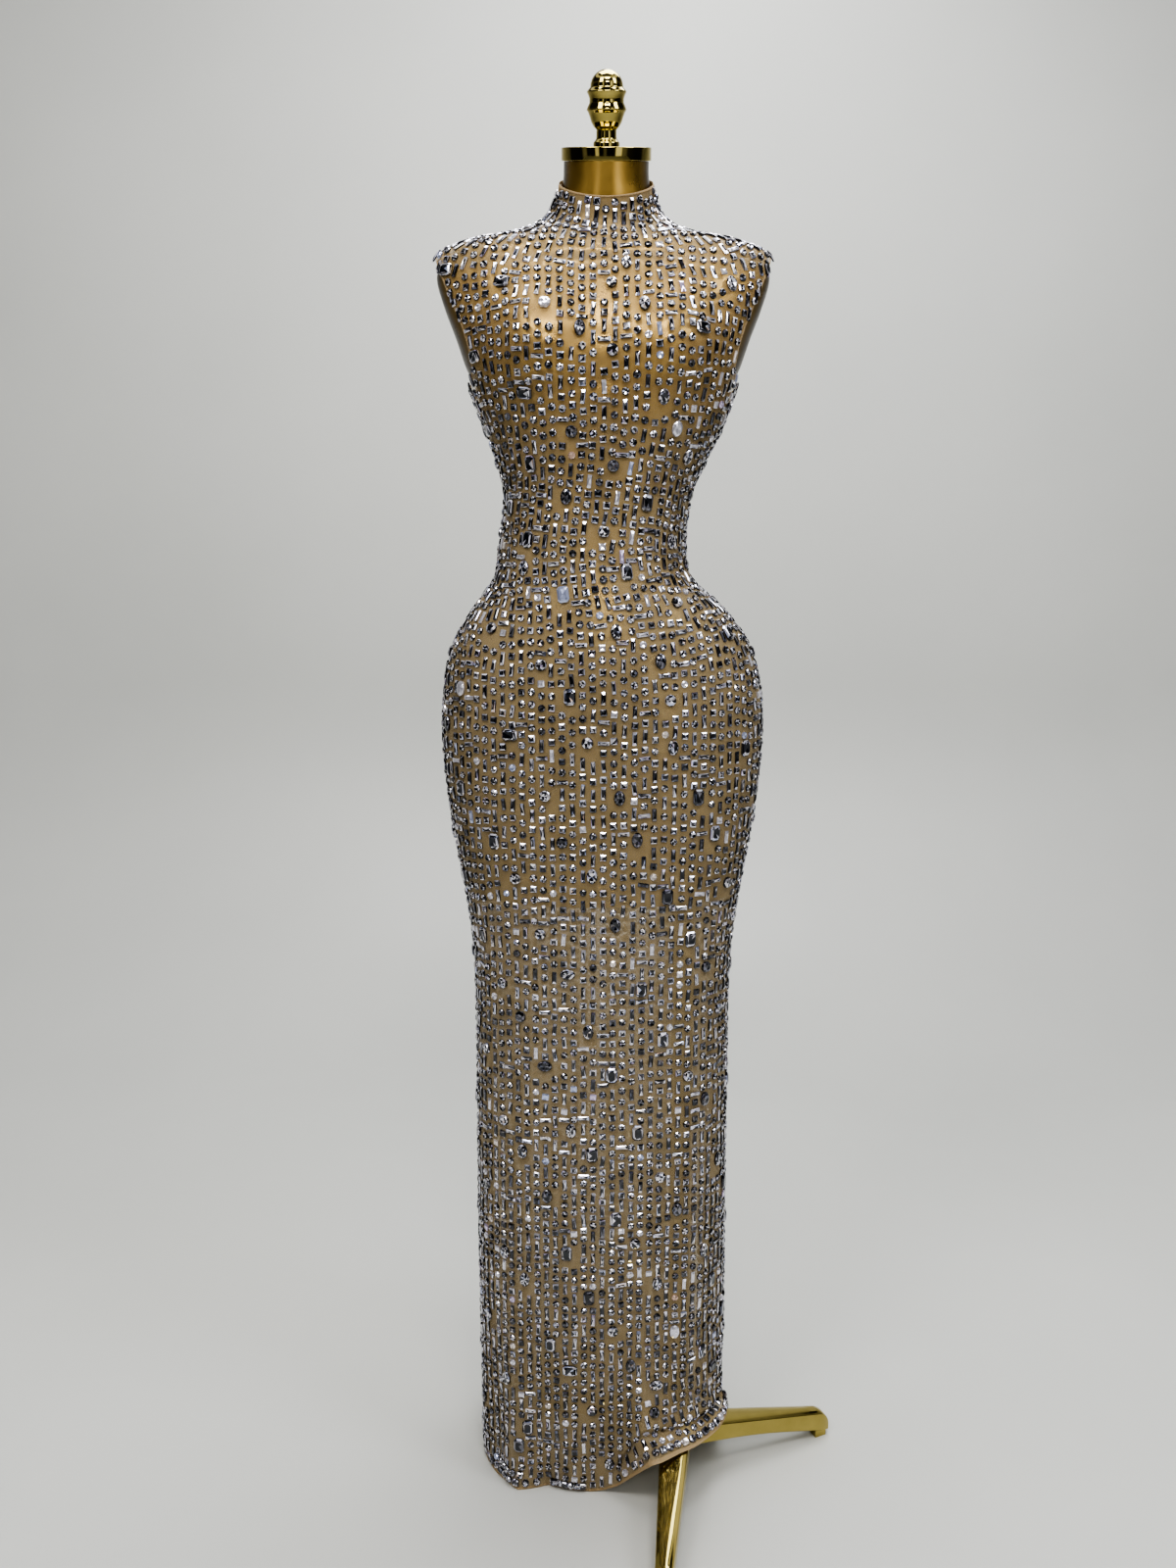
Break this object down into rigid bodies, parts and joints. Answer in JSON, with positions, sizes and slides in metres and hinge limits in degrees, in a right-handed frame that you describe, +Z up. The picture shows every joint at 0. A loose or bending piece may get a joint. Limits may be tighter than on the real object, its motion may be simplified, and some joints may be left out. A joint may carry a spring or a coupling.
{
  "type": "rhinestone mesh maxi dress on a limbless dress form",
  "caption": "Sleeveless floor-length mesh dress with a mock neck, set all over with clear stones, worn by a limbless gold dress form on a three-legged stand.",
  "frame": {"origin": "middle of the whole part's box, on the floor it stands on", "axes": "+Z up, -Y out of the front of the dress, +X to the viewer's right when the front is seen"},
  "size_m": [0.4858, 0.4284, 1.6349],
  "materials": {
    "mesh_cloth": "nude-tan mesh",
    "stones": "clear faceted, foiled back",
    "zip": "closed concealed zip, tan",
    "zip_metal": "satin plated",
    "form_shell": "satin gold paint",
    "bright_gold": "mirror-bright gold plate"
  },
  "bodies": {
    "dressed_form": {"dress_front": "mesh_cloth", "dress_back_right": "mesh_cloth", "dress_back_left": "mesh_cloth", "zip_chain": "zip", "zip_slider": "zip_metal", "form_torso": "form_shell", "neck_cap": "bright_gold", "finial": "bright_gold", "pole": "bright_gold", "stand_hub": "bright_gold", "leg_front": "bright_gold", "leg_right": "bright_gold", "leg_back": "bright_gold"},
    "zip_pull_body": {"zip_pull": "zip_metal"}
  },
  "joints": [
    {"name": "pull_swing", "type": "hinge", "parent": "dressed_form", "child": "zip_pull_body", "pos_m": [-0.05271, 0.13368, 1.52661], "axis": [1, 0, 0], "range_deg": [0, 150]}
  ]
}
